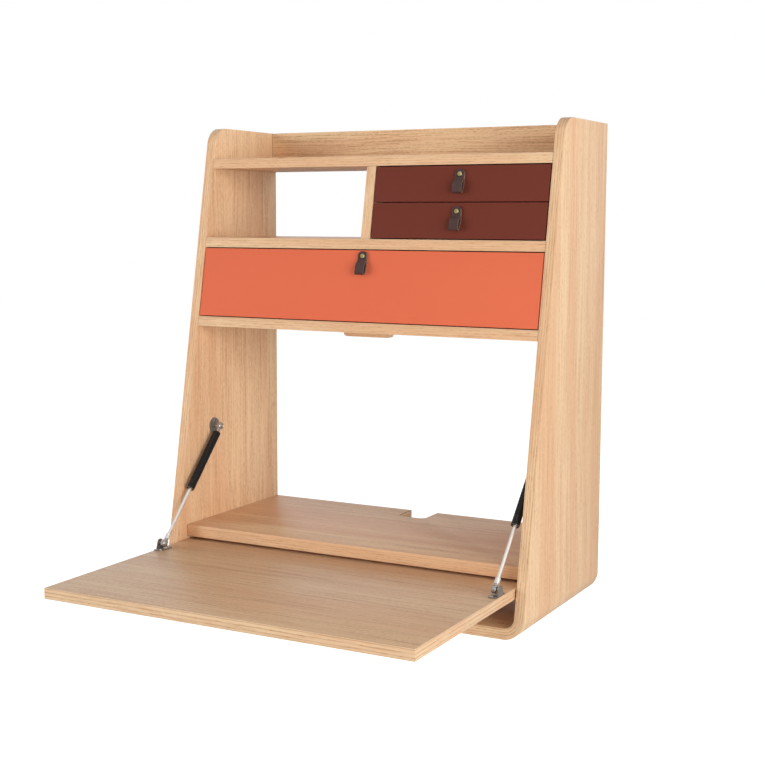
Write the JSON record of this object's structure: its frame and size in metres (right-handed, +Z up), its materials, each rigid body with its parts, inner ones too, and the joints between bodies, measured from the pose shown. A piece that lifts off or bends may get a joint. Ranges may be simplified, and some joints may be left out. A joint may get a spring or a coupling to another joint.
{
  "type": "fold down wall desk",
  "caption": "Wall-hung desk in bent oak plywood with a leaning front, a work leaf that folds down on two struts, an open niche and drawers with leather pulls.",
  "frame": {"origin": "middle of the four wall screws in the hanging rail, on the wall plane", "axes": "+Y into the wall, +Z up, +X to the right of someone facing the desk"},
  "size_m": [0.72, 0.7183, 0.856],
  "materials": {
    "oak": "light oak veneer, matt lacquer",
    "beech": "plain beech",
    "drawer_wood": "birch plywood",
    "orange_lacquer": "orange lacquered board",
    "dark_red_lacquer": "dark red lacquered board",
    "leather": "brown leather",
    "brass": "brushed brass",
    "satin_steel": "satin nickel-plated steel",
    "zinc_steel": "zinc-plated steel",
    "chrome": "bright chrome",
    "black_tube": "black satin paint",
    "black_plastic": "black nylon"
  },
  "bodies": {
    "carcass": {"bent_shell": "oak", "top_shelf": "oak", "middle_shelf": "oak", "drawer_shelf": "oak", "work_shelf": "oak", "back_rail": "oak", "hanging_rail": "beech", "divider": "oak", "drawer_bay_back": "drawer_wood", "under_shelf_block": "oak", "dowels": "beech", "pivot_pins": "satin_steel", "strut_plates": "satin_steel", "plate_screws": "satin_steel", "wide_cabinet_runners": "zinc_steel", "lower_runners": "beech", "upper_runners": "beech"},
    "leaf": {"leaf": "oak", "pivot_bushes": "black_plastic", "bracket_screws": "satin_steel", "bracket_left": "satin_steel", "bracket_right": "satin_steel", "lower_ball_stud_left": "satin_steel", "lower_ball_stud_right": "satin_steel"},
    "left_rod": {"lower_socket_left": "chrome", "rod_nut_left": "chrome", "strut_rod_left": "chrome"},
    "left_tube": {"tube_collar_left": "black_tube", "strut_tube_left": "black_tube", "upper_socket_left": "chrome", "upper_ball_stud_left": "satin_steel"},
    "right_rod": {"lower_socket_right": "chrome", "rod_nut_right": "chrome", "strut_rod_right": "chrome"},
    "right_tube": {"tube_collar_right": "black_tube", "strut_tube_right": "black_tube", "upper_socket_right": "chrome", "upper_ball_stud_right": "satin_steel"},
    "wide_drawer": {"wide_front": "orange_lacquer", "wide_bottom": "drawer_wood", "wide_left_side": "drawer_wood", "wide_right_side": "drawer_wood", "wide_back": "drawer_wood", "wide_drawer_runners": "zinc_steel", "wide_strap": "leather", "wide_pull_screw": "brass"},
    "lower_drawer": {"lower_front": "dark_red_lacquer", "lower_bottom": "drawer_wood", "lower_left_side": "drawer_wood", "lower_right_side": "drawer_wood", "lower_back": "drawer_wood", "lower_strap": "leather", "lower_pull_screw": "brass"},
    "upper_drawer": {"upper_front": "dark_red_lacquer", "upper_bottom": "drawer_wood", "upper_left_side": "drawer_wood", "upper_right_side": "drawer_wood", "upper_back": "drawer_wood", "upper_strap": "leather", "upper_pull_screw": "brass"}
  },
  "joints": [
    {"name": "leaf_hinge", "type": "hinge", "parent": "carcass", "child": "leaf", "pos_m": [0, -0.34422, -0.492], "axis": [-1, 0, 0], "range_deg": [0, 100.59]},
    {"name": "left_strut_swing", "type": "hinge", "parent": "leaf", "child": "left_rod", "pos_m": [-0.3275, -0.40972, -0.4715], "axis": [1, 0, 0], "range_deg": [0, 115.15]},
    {"name": "left_strut_slide", "type": "slide", "parent": "left_rod", "child": "left_tube", "axis": [0, -0.6845, -0.729], "range_m": [0, 0.09063]},
    {"name": "right_strut_swing", "type": "hinge", "parent": "leaf", "child": "right_rod", "pos_m": [0.3275, -0.40972, -0.4715], "axis": [1, 0, 0], "range_deg": [0, 115.15]},
    {"name": "right_strut_slide", "type": "slide", "parent": "right_rod", "child": "right_tube", "axis": [0, -0.6845, -0.729], "range_m": [0, 0.09063]},
    {"name": "wide_drawer_slide", "type": "slide", "parent": "carcass", "child": "wide_drawer", "axis": [0, -1, 0], "range_m": [0, 0.15]},
    {"name": "lower_drawer_slide", "type": "slide", "parent": "carcass", "child": "lower_drawer", "axis": [0, -1, 0], "range_m": [0, 0.13]},
    {"name": "upper_drawer_slide", "type": "slide", "parent": "carcass", "child": "upper_drawer", "axis": [0, -1, 0], "range_m": [0, 0.13]}
  ],
  "couplings": [
    {"joint": "left_strut_swing", "follows": "leaf_hinge", "ratio": 1.1446},
    {"joint": "left_strut_slide", "follows": "leaf_hinge", "m_per_rad": 0.051567},
    {"joint": "right_strut_swing", "follows": "leaf_hinge", "ratio": 1.1446},
    {"joint": "right_strut_slide", "follows": "leaf_hinge", "m_per_rad": 0.051567}
  ]
}
